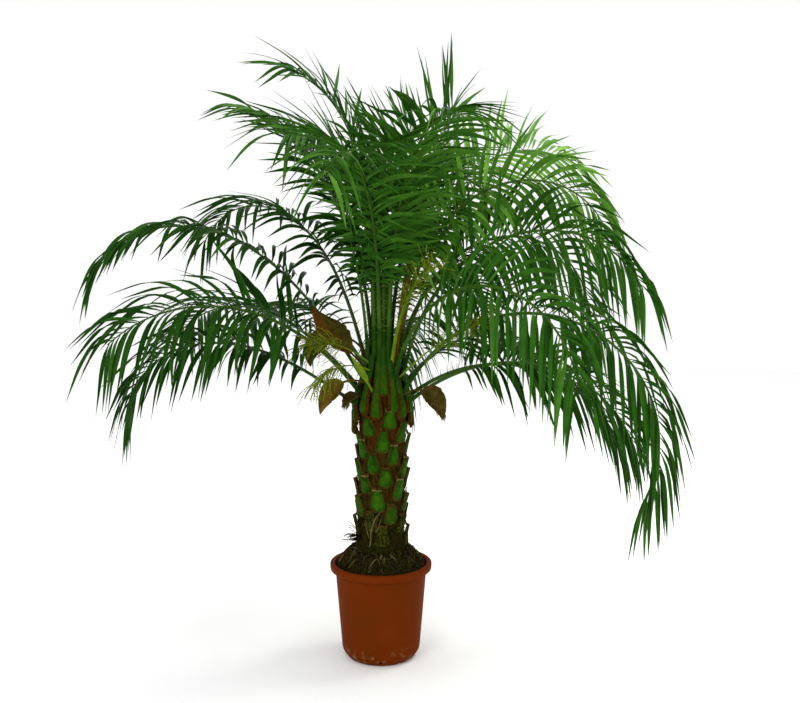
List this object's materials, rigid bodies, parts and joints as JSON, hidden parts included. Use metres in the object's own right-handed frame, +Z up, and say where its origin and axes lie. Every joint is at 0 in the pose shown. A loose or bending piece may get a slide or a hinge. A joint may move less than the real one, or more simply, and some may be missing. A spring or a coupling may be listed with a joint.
{
  "type": "potted pygmy date palm",
  "caption": "Feathery arching date palm with a rough single trunk, dry bracts and flower stalks, in a round plastic nursery pot filled with soil.",
  "frame": {"origin": "middle of the pot's flat underside", "axes": "+Z up; -Y is the front, the side that the picture shows; +X is to the viewer's right"},
  "size_m": [1.7673, 1.4933, 1.9191],
  "materials": {
    "terracotta_plastic": "reddish-brown moulded plastic, slightly scuffed",
    "potting_soil": "dark loose potting soil with litter",
    "fibrous_trunk": "rough brown fibre with green leaf-base stubs",
    "frond_green": "satin dark green leaf, yellower on young fronds",
    "dry_bract": "dry brown papery bract",
    "flower_strands": "yellow-green waxy strands"
  },
  "bodies": {
    "root": {"flowers_centre": "flower_strands", "flowers_hanging": "flower_strands", "flowers_left": "flower_strands", "flowers_right": "flower_strands", "frond_back_high": "frond_green", "frond_back_high_b_base": "frond_green", "frond_back_high_b_tip": "frond_green", "frond_back_left_base": "frond_green", "frond_back_left_tip": "frond_green", "frond_back_low": "frond_green", "frond_back_mid": "frond_green", "frond_back_right_base": "frond_green", "frond_back_right_tip": "frond_green", "frond_front_left": "frond_green", "frond_front_mid": "frond_green", "frond_front_right": "frond_green", "frond_left_back_base": "frond_green", "frond_left_back_tip": "frond_green", "frond_left_front_base": "frond_green", "frond_left_front_tip": "frond_green", "frond_left_high": "frond_green", "frond_left_high_b_base": "frond_green", "frond_left_high_b_tip": "frond_green", "frond_left_low_base": "frond_green", "frond_left_low_tip": "frond_green", "frond_left_mid_base": "frond_green", "frond_left_mid_tip": "frond_green", "frond_left_over": "frond_green", "frond_left_rear": "frond_green", "frond_left_top": "frond_green", "frond_right_bow_base": "frond_green", "frond_right_bow_tip": "frond_green", "frond_right_front": "frond_green", "frond_right_high_base": "frond_green", "frond_right_high_tip": "frond_green", "frond_right_low_b_base": "frond_green", "frond_right_low_b_tip": "frond_green", "frond_right_low_base": "frond_green", "frond_right_low_tip": "frond_green", "frond_right_mid_base": "frond_green", "frond_right_mid_tip": "frond_green", "frond_right_short": "frond_green", "frond_right_upper_base": "frond_green", "frond_right_upper_tip": "frond_green", "frond_right_wide_base": "frond_green", "frond_right_wide_tip": "frond_green", "frond_top_mid": "frond_green", "frond_top_young": "frond_green", "pot": "terracotta_plastic", "soil": "potting_soil", "spathe_behind": "dry_bract", "spathe_green": "dry_bract", "spathe_hanging": "dry_bract", "spathe_large": "dry_bract", "spathe_ragged": "dry_bract", "spathe_right": "dry_bract", "spathe_upright": "dry_bract", "spear_leaf": "frond_green", "trunk": "fibrous_trunk"}
  },
  "joints": []
}
